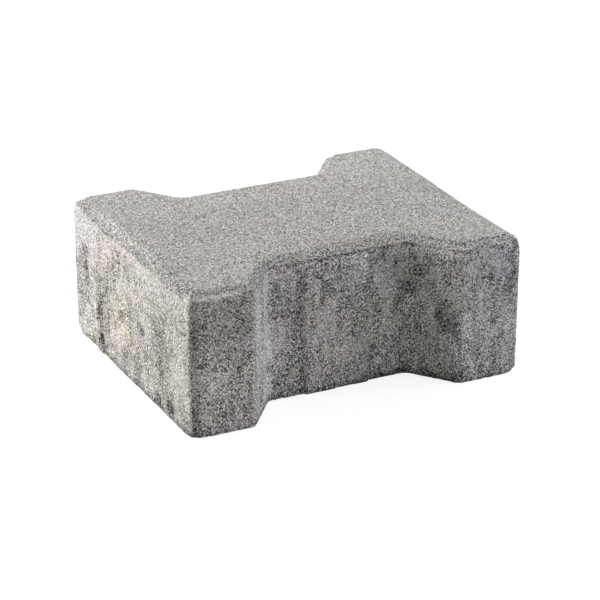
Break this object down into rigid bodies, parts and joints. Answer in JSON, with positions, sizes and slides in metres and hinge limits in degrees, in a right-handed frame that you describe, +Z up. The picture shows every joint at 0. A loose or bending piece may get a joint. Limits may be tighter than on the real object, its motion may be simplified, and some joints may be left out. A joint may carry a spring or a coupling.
{
  "type": "concrete paving stone",
  "caption": "Double-T interlocking paving stone in pressed grey concrete, with a waist on each side, a chamfered top edge and low spacer nibs.",
  "frame": {"origin": "centre of the underside", "axes": "+X along the stone's length, from flange to flange; +Y across the flanges; +Z up, out of the chamfered top face"},
  "size_m": [0.2, 0.165, 0.082],
  "materials": {
    "concrete": "matt, rough and sandy, unpainted"
  },
  "bodies": {
    "root": {"paving_stone": "concrete"}
  },
  "joints": []
}
